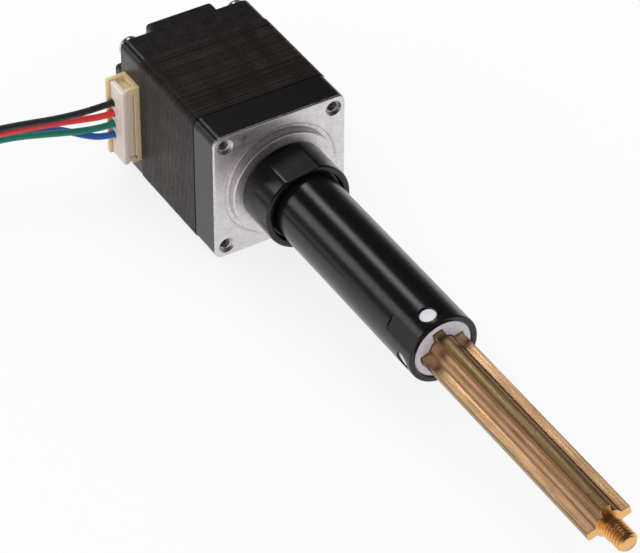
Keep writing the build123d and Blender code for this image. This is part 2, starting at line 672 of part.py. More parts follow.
def main():
    os.makedirs("parts", exist_ok=True)
    write("front_bell", front_bell())
    write("stator_stack", stator_stack())
    write("front_insulator", insulator(STACK_FRONT, STACK_FRONT + INSULATOR_LEN))
    write("rear_insulator", insulator(STACK_REAR - INSULATOR_LEN, STACK_REAR))
    write("coil_windings", coil_windings())
    write("rear_cover", rear_cover())
    write("through_screws", [Pos(0, y, z) * through_screw() for y, z in corner_places()])
    for end, x0 in (("front", FRONT_SEAT - BEARING_W), ("rear", REAR_BEARING)):
        outer, inner = bearing_rings(x0)
        balls, cage = bearing_balls(x0)
        write(end + "_outer_ring", outer)
        write(end + "_inner_ring", inner)
        write(end + "_balls", balls)
        write(end + "_cage", cage)
    write("wave_washer", wave_washer())
    write("rotor_shaft", rotor_shaft())
    write("drive_nut", drive_nut())
    write("rotor_core_front", rotor_core(CORE_FRONT - CORE_LEN, 0))
    write("rotor_core_rear", rotor_core(CORE_REAR_FRONT - CORE_LEN, 180 / ROTOR_TEETH))
    write("rotor_magnet", ring(MAGNET_R, SHAFT_R, CORE_REAR_FRONT, MAGNET_FRONT))
    write("collar", collar())
    write("guide_tube", guide_tube())
    write("guide_bush", guide_bush())
    write("splined_rod", splined_rod())
    write("stop_ring", stop_ring())
    write("lead_screw", lead_screw())
    write("connector_header", connector_header())
    write("header_pins", header_pins())
    write("winding_board", winding_board())
    write("connector_plug", connector_plug())
    write("crimp_terminals", crimp_terminals())
    for name, height in zip(("black", "red", "green", "blue"), wire_heights()):
        write("wire_" + name, lead_wire(name, height))
    write("lead_coil", lead_coil())
    write("lead_tie", lead_tie())
    write("wire_tips", wire_tips())


main()
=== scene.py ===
import math

import bpy
import numpy as np
from mathutils import Matrix, Vector


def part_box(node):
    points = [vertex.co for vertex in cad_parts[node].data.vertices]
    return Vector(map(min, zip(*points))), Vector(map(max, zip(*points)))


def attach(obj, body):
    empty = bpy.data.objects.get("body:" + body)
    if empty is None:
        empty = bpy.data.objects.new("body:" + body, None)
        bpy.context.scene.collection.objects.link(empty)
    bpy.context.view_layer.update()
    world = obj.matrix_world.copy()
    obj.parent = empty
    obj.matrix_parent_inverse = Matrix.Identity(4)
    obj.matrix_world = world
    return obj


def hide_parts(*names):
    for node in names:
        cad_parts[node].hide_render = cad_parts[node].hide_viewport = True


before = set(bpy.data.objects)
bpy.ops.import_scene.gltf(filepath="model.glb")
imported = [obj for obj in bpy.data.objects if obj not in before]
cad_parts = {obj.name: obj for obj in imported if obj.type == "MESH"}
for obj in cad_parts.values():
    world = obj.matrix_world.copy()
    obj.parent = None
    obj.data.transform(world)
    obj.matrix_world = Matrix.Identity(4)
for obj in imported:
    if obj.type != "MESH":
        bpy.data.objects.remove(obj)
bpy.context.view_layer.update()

# Stator stack
# Forty-one laminations of silicon steel, pressed together and left dark by the oil bath.
# Each edge stands a few hundredths proud of the next, which shows best on the rounded corners.
MM = 0.001
LAMINATIONS = 41
FRAME_SIDE = 28.0
FRAME_CORNER = 1.7
PROUD = 0.11            # over the plain stack inside, so that the edges show
SEAM_DEPTH = 0.105
SEAM_SHARE = 0.3        # of a lamination's thickness
SLEEVE_DEPTH = 0.35
SHEET_SPREAD = 0.012    # how unevenly the sheets stand
BURR = 0.035            # fall from a sheet's edge to its seam
STACK_BROWN = (0.052, 0.043, 0.037)
STACK_OIL = (0.012, 0.0095, 0.008)
SEAM_BLACK = (0.004, 0.003, 0.003)


def form(name, points, faces):
    """A mesh object from points in millimetres."""
    mesh = bpy.data.meshes.new(name)
    mesh.from_pydata(np.reshape(points, (-1, 3)) * MM, [], faces)
    piece = bpy.data.objects.new(name, mesh)
    bpy.context.scene.collection.objects.link(piece)
    return piece


def combine(piece, other, operation="DIFFERENCE"):
    """Cut the other form out of a piece, or join it on, and remove the other."""
    modifier = piece.modifiers.new("combine", "BOOLEAN")
    modifier.object = other
    modifier.operation = operation
    modifier.solver = "EXACT"
    bpy.context.view_layer.update()
    made = piece.evaluated_get(bpy.context.evaluated_depsgraph_get())
    mesh = bpy.data.meshes.new_from_object(made)
    piece.modifiers.clear()
    piece.data = mesh
    bpy.data.objects.remove(other)


def settle(piece, body, made, slot, *replaced, crease=32.0, level=True):
    """Finish a piece: sharp edges over the crease, level flats, body, material and replaced nodes; slot is
    not used.
    """
    piece.data.shade_smooth()
    piece.data.set_sharp_from_angle(angle=math.radians(crease))
    if level:
        modifier = piece.modifiers.new("level flats", "WEIGHTED_NORMAL")
        modifier.keep_sharp = True
        modifier.weight = 90
    piece.data.materials.clear()
    piece.data.materials.append(made)
    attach(piece, body)
    if replaced:
        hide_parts(*replaced)


def skin(grid, ends="capped"):
    """Points and faces over a grid of rings, each joined to the next.

    The two end rings get caps, or join each other."""
    rings, around = grid.shape[:2]
    bands = rings if ends == "joined" else rings - 1
    i, j = np.meshgrid(np.arange(bands), np.arange(around), indexing="ij")
    here, above, onward = i * around, (i + 1) % rings * around, (j + 1) % around
    faces = np.stack([here + j, here + onward, above + onward, above + j], -1).reshape(-1, 4).tolist()
    if ends == "capped":
        faces += [list(range(around))[::-1], list(range((rings - 1) * around, rings * around))]
    return grid.reshape(-1, 3), faces


def rounded(corners, radii, steps=5):
    """A closed outline with round corners, and its outward directions.

    Each corner is an arc that touches both of its sides: it starts the radius times the tangent of half
    the turn before the corner, and its centre is one radius to the side that the outline turns to."""
    corners, radii = np.asarray(corners, float), np.broadcast_to(np.asarray(radii, float), len(corners))
    before = corners - np.roll(corners, 1, 0)
    after = np.roll(corners, -1, 0) - corners
    before /= np.linalg.norm(before, axis=1)[:, None]
    after /= np.linalg.norm(after, axis=1)[:, None]
    turn = np.arctan2(before[:, 0] * after[:, 1] - before[:, 1] * after[:, 0], (before * after).sum(1))
    side = np.sign(turn)[:, None] * np.stack([-before[:, 1], before[:, 0]], -1)
    centre = corners - before * (radii * np.tan(np.abs(turn) / 2))[:, None] + side * radii[:, None]
    part = turn[:, None] * np.linspace(0, 1, steps + 1)
    cos, sin = np.cos(part)[..., None], np.sin(part)[..., None]
    across = np.stack([-side[:, 1], side[:, 0]], -1)
    arm = -side[:, None] * cos - across[:, None] * sin
    flat = centre[:, None] + arm * radii[:, None, None]
    outward = arm * np.sign(turn)[:, None, None]
    return flat.reshape(-1, 2), outward.reshape(-1, 2)


def square(side, corner, steps=5, between=1):
    """A square outline in Y and Z with round corners; between adds even points on its straight sides."""
    half = side / 2
    flat, outward = rounded([(half, -half), (half, half), (-half, half), (-half, -half)], corner, steps)
    if between > 1:
        share = np.arange(between)[:, None] / between
        last = np.arange(steps, len(flat), steps + 1)
        spans = [flat[k] + (flat[(k + 1) % len(flat)] - flat[k]) * share[1:] for k in last]
        sides = [np.repeat(outward[k:k + 1], between - 1, 0) for k in last]
        flat = np.concatenate([np.concatenate([flat[k - steps:k + 1], s]) for k, s in zip(last, spans)])
        outward = np.concatenate([np.concatenate([outward[k - steps:k + 1], s]) for k, s in zip(last, sides)])
    return flat, outward


def carried(flat, outward, x, inset):
    """An outline carried along X: at each station it is drawn in by inset along its outward directions."""
    ring = flat[None] - np.asarray(inset, float)[:, None, None] * outward[None]
    along = np.broadcast_to(np.asarray(x, float)[:, None, None], ring.shape[:2] + (1,))
    return np.concatenate([along, ring], -1)


def eased(x0, x1, edge, steps=3):
    """Stations and insets of a length whose two end edges are quarter circles."""
    t = np.linspace(0, math.pi / 2, steps + 1)
    x = np.concatenate([x0 + edge * (1 - np.cos(t)), x1 - edge * (1 - np.cos(t[::-1]))])
    inset = edge * (1 - np.sin(t))
    return x, np.concatenate([inset, inset[::-1]])


def tag(piece, name, values):
    """Store one number for each point, for the piece's material to read."""
    stored = piece.data.attributes.new(name, "FLOAT", "POINT")
    stored.data.foreach_set("value", np.ravel(values).astype(np.float32))


def add(tree, kind, inputs=None, **settings):
    """One shader node; each input is a plain value, or the output that feeds it."""
    made = tree.nodes.new("ShaderNode" + kind)
    for key, value in settings.items():
        setattr(made, key, value)
    for key, value in (inputs or {}).items():
        if isinstance(value, bpy.types.NodeSocket):
            tree.links.new(value, made.inputs[key])
        else:
            made.inputs[key].default_value = value
    return made


def group(name, sockets, outputs):
    """An empty shader node group with named number inputs and outputs, and its two end nodes."""
    tree = bpy.data.node_groups.new(name, "ShaderNodeTree")
    for socket, kind, value in sockets:
        made = tree.interface.new_socket(name=socket, in_out="INPUT", socket_type="NodeSocket" + kind)
        if value is not None:
            made.default_value = value
    for socket, kind in outputs:
        tree.interface.new_socket(name=socket, in_out="OUTPUT", socket_type="NodeSocket" + kind)
    return tree, tree.nodes.new("NodeGroupInput").outputs, tree.nodes.new("NodeGroupOutput").inputs


def placed(tree, name, **values):
    """One of the shared groups, placed in a material with its own values."""
    made = tree.nodes.new("ShaderNodeGroup")
    made.node_tree = bpy.data.node_groups[name]
    for key, value in values.items():
        if isinstance(value, bpy.types.NodeSocket):
            tree.links.new(value, made.inputs[key])
        else:
            made.inputs[key].default_value = value
    return made.outputs


def material(name, roughness, metallic=0.0, **plain):
    """A material with its Principled shader; what is the same all over the surface is set here."""
    made = bpy.data.materials.new(name)
    made.use_nodes = True
    shader = made.node_tree.nodes["Principled BSDF"]
    shader.inputs["Roughness"].default_value = roughness
    shader.inputs["Metallic"].default_value = metallic
    for key, value in plain.items():
        shader.inputs[key.replace("_", " ")].default_value = value
    return made, made.node_tree, shader


def object_place(tree):
    return add(tree, "TexCoord").outputs["Object"]


def blend_colours(tree, share, first, second):
    """First colour where share is 0, second where it is 1."""
    return add(tree, "Mix", {0: share, 6: first, 7: second}, data_type="RGBA").outputs[2]


# Mottle: soft noise on Object coordinates, stretched along each axis by Stretch, from Low to High.
tree, given, sent = group("mottle", [("Vector", "Vector", None), ("Stretch", "Vector", (1, 1, 1)),
                                     ("Scale", "Float", 1000.0), ("Detail", "Float", 3.0),
                                     ("Low", "Float", 0.0), ("High", "Float", 1.0)],
                          [("Value", "Float")])
scaled = add(tree, "VectorMath", {0: given["Vector"], 1: given["Stretch"]}, operation="MULTIPLY")
noise = add(tree, "TexNoise", {"Vector": scaled.outputs[0], "Scale": given["Scale"],
                               "Detail": given["Detail"], "Roughness": 0.6})
spread = add(tree, "MapRange", {"Value": noise.outputs[0], "From Min": 0.3, "From Max": 0.7,
                                "To Min": given["Low"], "To Max": given["High"]})
tree.links.new(spread.outputs[0], sent["Value"])

stack_low, stack_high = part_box("stator_stack")
pitch = (stack_high.x - stack_low.x) / LAMINATIONS / MM
rng = np.random.default_rng(7)
proud = rng.uniform(-SHEET_SPREAD, SHEET_SPREAD, LAMINATIONS)
edges = stack_low.x / MM + pitch * np.arange(LAMINATIONS)
seam = pitch * SEAM_SHARE
x = (edges[:, None] + np.array([0, 0.5 * seam, seam, pitch - seam, pitch - 0.5 * seam])[None]).ravel()
depth = np.stack([np.full(LAMINATIONS, SEAM_DEPTH), proud + BURR, proud, proud, proud + BURR], -1).ravel()
x = np.append(x, stack_high.x / MM)
depth = np.append(depth, SEAM_DEPTH)
x = np.concatenate([x, x[[-1, 0]]])
depth = np.concatenate([depth, [SLEEVE_DEPTH, SLEEVE_DEPTH]])
flat, outward = square(FRAME_SIDE + 2 * PROUD, FRAME_CORNER, 8, 4)
sleeve = form("stator_lamination_edges", *skin(carried(flat, outward, x, depth), "joined"))
groove = np.repeat(depth > SEAM_DEPTH * 0.9, len(flat)).astype(float)
tag(sleeve, "groove", groove)

oiled_steel, tree, shader = material("oiled_laminations", 0.42, 0.35)
place = object_place(tree)
seam_mask = add(tree, "Attribute", attribute_name="groove").outputs["Fac"]
sheet = add(tree, "VectorMath", {0: place, 1: (1 / (pitch * MM), 0, 0)}, operation="MULTIPLY")
start = (-stack_low.x / (pitch * MM), 0, 0)
sheet = add(tree, "VectorMath", {0: sheet.outputs[0], 1: start}, operation="ADD")
sheet = add(tree, "VectorMath", {0: sheet.outputs[0]}, operation="FLOOR")
tone = add(tree, "TexWhiteNoise", {"Vector": sheet.outputs[0]}, noise_dimensions="3D").outputs[0]
smear = placed(tree, "mottle", Vector=place, Stretch=(0.25, 1, 1), Scale=260.0, Low=0.0, High=1.0)["Value"]
both = add(tree, "Math", {0: tone, 1: smear, 2: 0.15}, operation="MULTIPLY_ADD")
brown = blend_colours(tree, both.outputs[0], (*STACK_OIL, 1), (*STACK_BROWN, 1))
brown = blend_colours(tree, seam_mask, brown, (*SEAM_BLACK, 1))
tree.links.new(brown, shader.inputs["Base Color"])
rough = placed(tree, "mottle", Vector=place, Scale=700.0, Low=0.3, High=0.46)["Value"]
tree.links.new(rough, shader.inputs["Roughness"])
settle(sleeve, "housing", oiled_steel, "stator_steel", crease=80.0, level=False)

# Front bell
# Die-cast aluminium end bell, its sides painted black, its face and pilot boss then turned bare.
# The four threaded corner holes take the mounting screws; the through screws end deeper in them.
BELL_LEN = 7.4
FACE_EDGE = 0.3
REAR_EDGE_SHARE = 0.3   # the rear edge is broken less than the front one
PAINT_EDGE = 0.34
HUB_SEAT_R = 12.2
HUB_REAR = -5.2
SHOULDER_X = -1.2
BEARING_R = 8.0
RING_R = 12.0
RING_DEPTH = 0.15
BOSS_R = 11.0
BOSS_LEN = 1.9
BOSS_BORE = 7.55
HOLE_PLACE = 11.5
CORNER_PLACES = [(y, z) for y in (-HOLE_PLACE, HOLE_PLACE) for z in (-HOLE_PLACE, HOLE_PLACE)]
HOLE_R = 1.25
THREAD_CUT = 0.28
THREAD_PITCH = 0.45
MOUTH_R = 1.65
BARE_MOUTH_R = 1.9      # bare metal round each hole
ALUMINIUM = (0.83, 0.79, 0.80)
ALUMINIUM_DULL = (0.70, 0.655, 0.665)
ALUMINIUM_SPECK = (0.5, 0.46, 0.47)
BLACK_PAINT = (0.0065, 0.0055, 0.0053)


def turned(profile, count=144, across=None, turn=0.0):
    """A profile of (x, radius) points swept round X; across is the half width over its two flats."""
    profile = np.asarray(profile, float)
    angles = np.arange(count) * 2 * math.pi / count
    radius = np.repeat(profile[:, 1:], count, 1)
    if across is not None:
        across = np.broadcast_to(across, len(profile)).astype(float)
        edge = math.acos(min(across.min() / profile[:, 1].max(), 1))
        crossings = [turn + k * math.pi + side * edge for k in (0, 1) for side in (-1, 1)]
        angles = np.unique(np.round(np.concatenate([angles, np.mod(crossings, 2 * math.pi)]), 5))
        limit = across[:, None] / np.maximum(np.abs(np.cos(angles - turn))[None], 1e-3)
        radius = np.minimum(profile[:, 1:], limit)
    x = np.repeat(profile[:, :1], len(angles), 1)
    return np.stack([x, radius * np.cos(angles), radius * np.sin(angles)], -1)


def section(corners, radii, steps=4):
    """The closed profile of a turned piece, from corners in (x, radius), without doubled points."""
    flat = rounded(corners, radii, steps)[0]
    flat[:, 1] = np.maximum(flat[:, 1], 0.02)
    return flat[np.linalg.norm(flat - np.roll(flat, 1, 0), axis=1) > 1e-4]


def swept(x, radius, angles):
    """A grid of rings round X, with a radius of its own at each station and angle."""
    along = np.broadcast_to(x[:, None], radius.shape)
    return np.stack([along, radius * np.cos(angles), radius * np.sin(angles)], -1)


def thread_cutter(x0, x1, minor, major, pitch, mouth):
    """A cutter for a threaded hole from x0 to x1 that opens out to the mouth radius at x = 0."""
    angles = np.arange(40) * 2 * math.pi / 40
    x = np.linspace(x0, x1, int((x1 - x0) / pitch * 9))
    phase = np.mod(x[:, None] / pitch - angles[None] / (2 * math.pi), 1)
    radius = minor + (major - minor) * np.clip(2.4 * np.abs(2 * phase - 1) - 0.7, 0, 1)
    radius = np.maximum(radius, mouth + x[:, None])
    return swept(x, radius, angles)


def uneven(tree, shader, height, strength, distance):
    """Let a height from 0 to 1 tilt the surface's normals; distance is its full height in metres."""
    bump = add(tree, "Bump", {"Height": height, "Strength": strength, "Distance": distance})
    tree.links.new(bump.outputs[0], shader.inputs["Normal"])


flat, outward = square(FRAME_SIDE, FRAME_CORNER, 8, 9)
x, inset = eased(-BELL_LEN, 0, FACE_EDGE, 4)
inset[:5] *= REAR_EDGE_SHARE
outer = carried(flat, outward, x, inset)
radial = flat / np.linalg.norm(flat, axis=1)[:, None] * HUB_SEAT_R
seat = carried(radial, radial * 0, [0, -BELL_LEN], [0, 0])
bell = form("front_bell_body", *skin(np.concatenate([outer, seat]), "joined"))
for y, z in CORNER_PLACES:
    cutter = thread_cutter(-BELL_LEN - 1, 0.3, HOLE_R - THREAD_CUT, HOLE_R + 0.02, THREAD_PITCH, MOUTH_R)
    combine(bell, form("hole", *skin(cutter + (0, y, z))))
hub = section([(HUB_REAR, HUB_SEAT_R), (-0.03, HUB_SEAT_R), (0.0, RING_R), (-RING_DEPTH, RING_R - 0.15),
               (-RING_DEPTH, BOSS_R), (BOSS_LEN, BOSS_R), (BOSS_LEN, BOSS_BORE),
               (SHOULDER_X, BOSS_BORE), (SHOULDER_X, BEARING_R), (HUB_REAR, BEARING_R)],
              [0.1, 0.02, 0.02, 0.05, 0.3, 0.3, 0.2, 0.05, 0.05, 0.1])
hub = form("front_bell_boss", *skin(turned(hub, 180), "joined"))

# Edge rub: a ragged border of the paint. Near is the distance past it in metres, Width how ragged it is.
tree, given, sent = group("edge rub", [("Vector", "Vector", None), ("Near", "Float", 0.0),
                                       ("Width", "Float", 0.0002), ("Scale", "Float", 2500.0)],
                          [("Value", "Float")])
noise = add(tree, "TexNoise", {"Vector": given["Vector"], "Scale": given["Scale"], "Detail": 4.0})
push = add(tree, "MapRange", {"Value": noise.outputs[0], "From Min": 0.3, "From Max": 0.7,
                              "To Min": -1.0, "To Max": 1.0})
moved = add(tree, "Math", {0: push.outputs[0], 1: given["Width"]}, operation="MULTIPLY")
moved = add(tree, "Math", {0: moved.outputs[0], 1: given["Near"]}, operation="ADD")
sharp = add(tree, "MapRange", {"Value": moved.outputs[0], "From Min": -0.00002, "From Max": 0.00002})
tree.links.new(sharp.outputs[0], sent["Value"])

cast, tree, shader = material("bell_aluminium", 0.4, 1.0)
place = object_place(tree)
axes = add(tree, "SeparateXYZ", {0: place}).outputs
front = add(tree, "Math", {0: axes["X"], 1: PAINT_EDGE * MM}, operation="ADD").outputs[0]
bare = placed(tree, "edge rub", Vector=place, Near=front, Width=0.00009, Scale=1800.0)["Value"]
aside = [add(tree, "Math", {0: axes[axis]}, operation="ABSOLUTE").outputs[0] for axis in "YZ"]
aside = add(tree, "CombineXYZ", {0: HOLE_PLACE * MM, 1: aside[0], 2: aside[1]}).outputs[0]
aside = add(tree, "VectorMath", {0: aside, 1: (HOLE_PLACE * MM,) * 3}, operation="DISTANCE").outputs["Value"]
hole = add(tree, "Math", {0: aside, 1: BARE_MOUTH_R * MM}, operation="LESS_THAN").outputs[0]
bare = add(tree, "Math", {0: bare, 1: hole}, operation="MAXIMUM").outputs[0]
dull = placed(tree, "mottle", Vector=place, Scale=420.0, Detail=6.0, Low=0.0, High=0.8)["Value"]
metal = blend_colours(tree, dull, (*ALUMINIUM, 1), (*ALUMINIUM_DULL, 1))
speck = placed(tree, "mottle", Vector=place, Scale=3500.0, Detail=2.0, Low=-1.6, High=1.0)["Value"]
metal = blend_colours(tree, speck, metal, (*ALUMINIUM_SPECK, 1))
tree.links.new(blend_colours(tree, bare, (*BLACK_PAINT, 1), metal), shader.inputs["Base Color"])
tree.links.new(bare, shader.inputs["Metallic"])
rough = placed(tree, "mottle", Vector=place, Scale=600.0, Low=0.36, High=0.5)["Value"]
rough = add(tree, "Mix", {0: bare, 2: 0.3, 3: rough}, data_type="FLOAT").outputs[0]
tree.links.new(rough, shader.inputs["Roughness"])
grain = placed(tree, "mottle", Vector=place, Scale=2600.0, Detail=5.0)["Value"]
uneven(tree, shader, grain, 0.35, 0.00003)
settle(bell, "housing", cast, "bell_aluminium", "front_bell", crease=40.0)
settle(hub, "housing", cast, "bell_aluminium", "front_bell", crease=30.0)

# Rear cover
# Black end cover with a raised cross that leaves four corner notches for the screw heads.
# It holds the rear bearing, and the side with the connector is open round it.
COVER_FRONT = -28.1
SEAM_EDGE_SHARE = 0.4   # the edge at the stack is broken less
COVER_REAR = -35.4
CROSS_REAR = -38.1
ARM_HALF = 7.2
ARM_EDGE = 0.7
ARM_PROUD = 0.005       # keeps the arms' tips off the cover's own faces
SEAT_REAR = -35.15
CAVITY_REAR = -30.3
CAVITY_R = 12.2
SCREW_CLEAR_R = 1.35
COVER_DUST = (0.016, 0.0135, 0.013)
EXIT_R = 2.9
PORT = (-34.15, -28.0, -20.0, -11.0, -9.55, 8.15)
PORT_MOUTH_R = 1.6

flat, outward = square(FRAME_SIDE, FRAME_CORNER, 8, 1)
x, inset = eased(COVER_REAR, COVER_FRONT, 0.35, 4)
inset[5:] *= SEAM_EDGE_SHARE
cover = form("rear_cover_body", *skin(carried(flat, outward, x, inset)))
h, tip = ARM_HALF, FRAME_SIDE / 2 + ARM_PROUD
flat, outward = rounded([(tip, -h), (tip, h), (h, h), (h, tip), (-h, tip), (-h, h), (-tip, h), (-tip, -h),
                         (-h, -h), (-h, -tip), (h, -tip), (h, -h)], [0.9, 0.9, 1.4] * 4, 6)
x, inset = eased(CROSS_REAR, COVER_FRONT - 1.0, ARM_EDGE, 5)
inset[6:] = 0.0
cross = carried(flat, outward, x, inset)
combine(cover, form("cross", *skin(cross)), "UNION")
hollow = [(CROSS_REAR - 1, EXIT_R), (SEAT_REAR, EXIT_R), (SEAT_REAR, BEARING_R), (CAVITY_REAR, BEARING_R),
          (CAVITY_REAR, CAVITY_R), (COVER_FRONT + 1.1, CAVITY_R)]
combine(cover, form("cavity", *skin(turned(hollow, 96))))
for y, z in CORNER_PLACES:
    through = turned([(COVER_REAR - 0.6, SCREW_CLEAR_R), (COVER_FRONT + 1.1, SCREW_CLEAR_R)], 32)
    combine(cover, form("hole", *skin(through + (0, y, z))))


def brick(x0, x1, y0, y1, z0, z1, edge=0.0, corner=None):
    """A block between two corners; its corners seen along X are round, and so are its edges at both ends."""
    corner = edge if corner is None else corner
    flat, outward = rounded([(y1, z0), (y1, z1), (y0, z1), (y0, z0)], corner, 4)
    keep = np.linalg.norm(flat - np.roll(flat, 1, 0), axis=1) > 1e-4
    x, inset = eased(x0, x1, edge, 3) if edge else (np.array([x0, x1]), np.zeros(2))
    return skin(carried(flat[keep], outward[keep], x, inset))


combine(cover, form("port", *brick(*PORT, corner=PORT_MOUTH_R)))

paint, tree, shader = material("black_cover", 0.28)
place = object_place(tree)
dusty = placed(tree, "mottle", Vector=place, Scale=900.0, Detail=5.0, Low=0.0, High=1.0)["Value"]
tree.links.new(blend_colours(tree, dusty, (*BLACK_PAINT, 1), (*COVER_DUST, 1)),
               shader.inputs["Base Color"])
rough = placed(tree, "mottle", Vector=place, Scale=500.0, Detail=4.0, Low=0.24, High=0.36)["Value"]
tree.links.new(rough, shader.inputs["Roughness"])
skin_noise = placed(tree, "mottle", Vector=place, Scale=1300.0, Detail=3.0)["Value"]
uneven(tree, shader, skin_noise, 0.2, 0.00004)
settle(cover, "housing", paint, "cover_paint", "rear_cover", crease=38.0)

# Through screws
# Four zinc-plated pan-head screws with a cross recess clamp cover, stack and bell together.
HEAD_R = 2.2
HEAD_LEN = 1.5
SHANK_R = 1.2
SHANK_END = -4.4
ZINC = (0.74, 0.73, 0.70)
ZINC_DULL = (0.55, 0.55, 0.56)
RECESS_HALF = 0.28
RECESS_REACH = 1.15
RECESS_DEPTH = 0.8
RECESS_TAPER = (1.1, 0.45)  # at its mouth and its floor

zinc, tree, shader = material("bright_zinc", 0.3, 1.0)
place = object_place(tree)
cloud = placed(tree, "mottle", Vector=place, Scale=700.0, Low=0.0, High=1.0)["Value"]
tree.links.new(blend_colours(tree, cloud, (*ZINC, 1), (*ZINC_DULL, 1)),
               shader.inputs["Base Color"])
rough = placed(tree, "mottle", Vector=place, Scale=900.0, Low=0.22, High=0.42)["Value"]
tree.links.new(rough, shader.inputs["Roughness"])
profile = section([(COVER_REAR - HEAD_LEN, 0), (COVER_REAR - HEAD_LEN, HEAD_R), (COVER_REAR, HEAD_R),
                   (COVER_REAR, SHANK_R), (SHANK_END, SHANK_R), (SHANK_END, 0)],
                  [0, 0.75, 0.1, 0.1, 0.3, 0], 5)
for index, (y, z) in enumerate(CORNER_PLACES):
    screw = form(f"through_screw_{index + 1}", *skin(turned(profile, 48) + (0, y, z)))
    turn = 0.35 + 0.6 * index
    for spin in (turn, turn + math.pi / 2):
        bar = np.array([(-1, -1), (1, -1), (1, 1), (-1, 1)]) * (RECESS_REACH, RECESS_HALF)
        bar = np.stack([bar[:, 0] * math.cos(spin) - bar[:, 1] * math.sin(spin),
                        bar[:, 0] * math.sin(spin) + bar[:, 1] * math.cos(spin)], -1)
        taper = np.array(RECESS_TAPER)[:, None, None]
        ring = np.concatenate([np.full((2, 4, 1), 0.0), bar[None] * taper], -1)
        ring[0, :, 0] = COVER_REAR - HEAD_LEN - 0.1
        ring[1, :, 0] = COVER_REAR - HEAD_LEN + RECESS_DEPTH
        combine(screw, form("recess", *skin(ring + (0, y, z))))
    settle(screw, "housing", zinc, "screw_zinc", "through_screws", crease=35.0)

# Collar
# Black anodised nut with two wrench flats that clamps the guide tube's lip onto the boss.
COLLAR_R = 8.9
COLLAR_FLAT = 8.1
COLLAR_TURN = math.radians(98.0)
COLLAR_FRONT = 10.4
MOUTH_BORE = 7.6
MOUTH_DEPTH = 1.5
ANODISE_BLACK = (0.004, 0.0035, 0.0035)
ANODISE_WORN = (0.007, 0.006, 0.006)
TUBE_R = 7.0
SPIGOT_R = 7.5
SPIGOT_REAR = -1.1
THROAT_R = TUBE_R + 0.02
NO_FLAT = 20.0          # wider than any piece, so it cuts no flat

corners = [(SPIGOT_REAR, SPIGOT_R), (BOSS_LEN, SPIGOT_R), (BOSS_LEN, COLLAR_R), (COLLAR_FRONT, COLLAR_R),
           (COLLAR_FRONT, MOUTH_BORE), (COLLAR_FRONT - MOUTH_DEPTH, MOUTH_BORE),
           (COLLAR_FRONT - MOUTH_DEPTH, THROAT_R), (SPIGOT_REAR, THROAT_R)]
profile = section(corners, [0.2, 0.1, 0.3, 0.45, 0.25, 0.2, 0.1, 0.1], 4)
from_end = np.minimum(profile[:, 0] - BOSS_LEN, COLLAR_FRONT - profile[:, 0])
across = COLLAR_FLAT - np.maximum(0, 0.12 - from_end)
across = np.where(profile[:, 0] < BOSS_LEN + 0.05, NO_FLAT, across)
across = np.where(profile[:, 1] < 7.9, NO_FLAT, across)
collar = form("collar", *skin(turned(profile, 180, across, COLLAR_TURN), "joined"))

# Drawn lines: fine marks that run along one axis, from noise drawn out along the axes where Squash is small.
tree, given, sent = group("drawn lines", [("Vector", "Vector", None), ("Squash", "Vector", (0.02, 1, 1)),
                                          ("Scale", "Float", 4000.0), ("Low", "Float", 0.0),
                                          ("High", "Float", 1.0)], [("Value", "Float")])
scaled = add(tree, "VectorMath", {0: given["Vector"], 1: given["Squash"]}, operation="MULTIPLY")
noise = add(tree, "TexNoise", {"Vector": scaled.outputs[0], "Scale": given["Scale"], "Detail": 5.0,
                               "Roughness": 0.65})
spread = add(tree, "MapRange", {"Value": noise.outputs[0], "From Min": 0.35, "From Max": 0.65,
                                "To Min": given["Low"], "To Max": given["High"]})
tree.links.new(spread.outputs[0], sent["Value"])

anodise, tree, shader = material("black_anodise", 0.26, 0.0)
shader.inputs["Specular IOR Level"].default_value = 0.42
place = object_place(tree)
tone = placed(tree, "mottle", Vector=place, Scale=350.0, Low=0.0, High=1.0)["Value"]
tree.links.new(blend_colours(tree, tone, (*ANODISE_BLACK, 1), (*ANODISE_WORN, 1)),
               shader.inputs["Base Color"])
lines = placed(tree, "drawn lines", Vector=place, Squash=(1.0, 0.03, 0.03), Scale=2500.0,
               Low=0.2, High=0.25)["Value"]
tree.links.new(lines, shader.inputs["Roughness"])
grain = placed(tree, "mottle", Vector=place, Scale=1500.0, Detail=3.0)["Value"]
uneven(tree, shader, grain, 0.12, 0.00003)
settle(collar, "housing", anodise, "black_anodise", "collar", crease=25.0)

# Guide tube
# Black anodised aluminium tube with a lip under the collar, two flats at its end and four side holes
# that the bush's buttons spring into.
TUBE_REAR = 0.3
TUBE_END = 56.1
TUBE_BORE = 5.8
TUBE_FLAT = 6.775
FLAT_LEN = 8.2
TUBE_TURN = math.radians(152.6)
BUTTON_X = 53.2
BUTTON_R = 1.55
BUTTON_TURN = 104.5

flat_start = TUBE_END - FLAT_LEN
corners = [(TUBE_REAR, TUBE_R), (flat_start - 0.02, TUBE_R), (flat_start + 0.02, TUBE_R), (TUBE_END, TUBE_R),
           (TUBE_END, TUBE_BORE), (TUBE_REAR, TUBE_BORE)]
profile = section(corners, [0.1, 0, 0, 0.28, 0.3, 0.1], 4)
across = np.where(profile[:, 0] > flat_start, TUBE_FLAT, NO_FLAT)
across = np.where(profile[:, 1] < 6.6, NO_FLAT, across)
tube = form("guide_tube", *skin(turned(profile, 180, across, TUBE_TURN), "joined"))


def along_radius(grid, x, angle):
    """Turn a grid made along X so that it points outward at an angle round X, at the place x."""
    angle = math.radians(angle)
    out = np.array([0, math.cos(angle), math.sin(angle)])
    side = np.array([0, -math.sin(angle), math.cos(angle)])
    return np.array([x, 0, 0]) + grid[..., :1] * out + grid[..., 1:2] * side + grid[..., 2:] * [1, 0, 0]


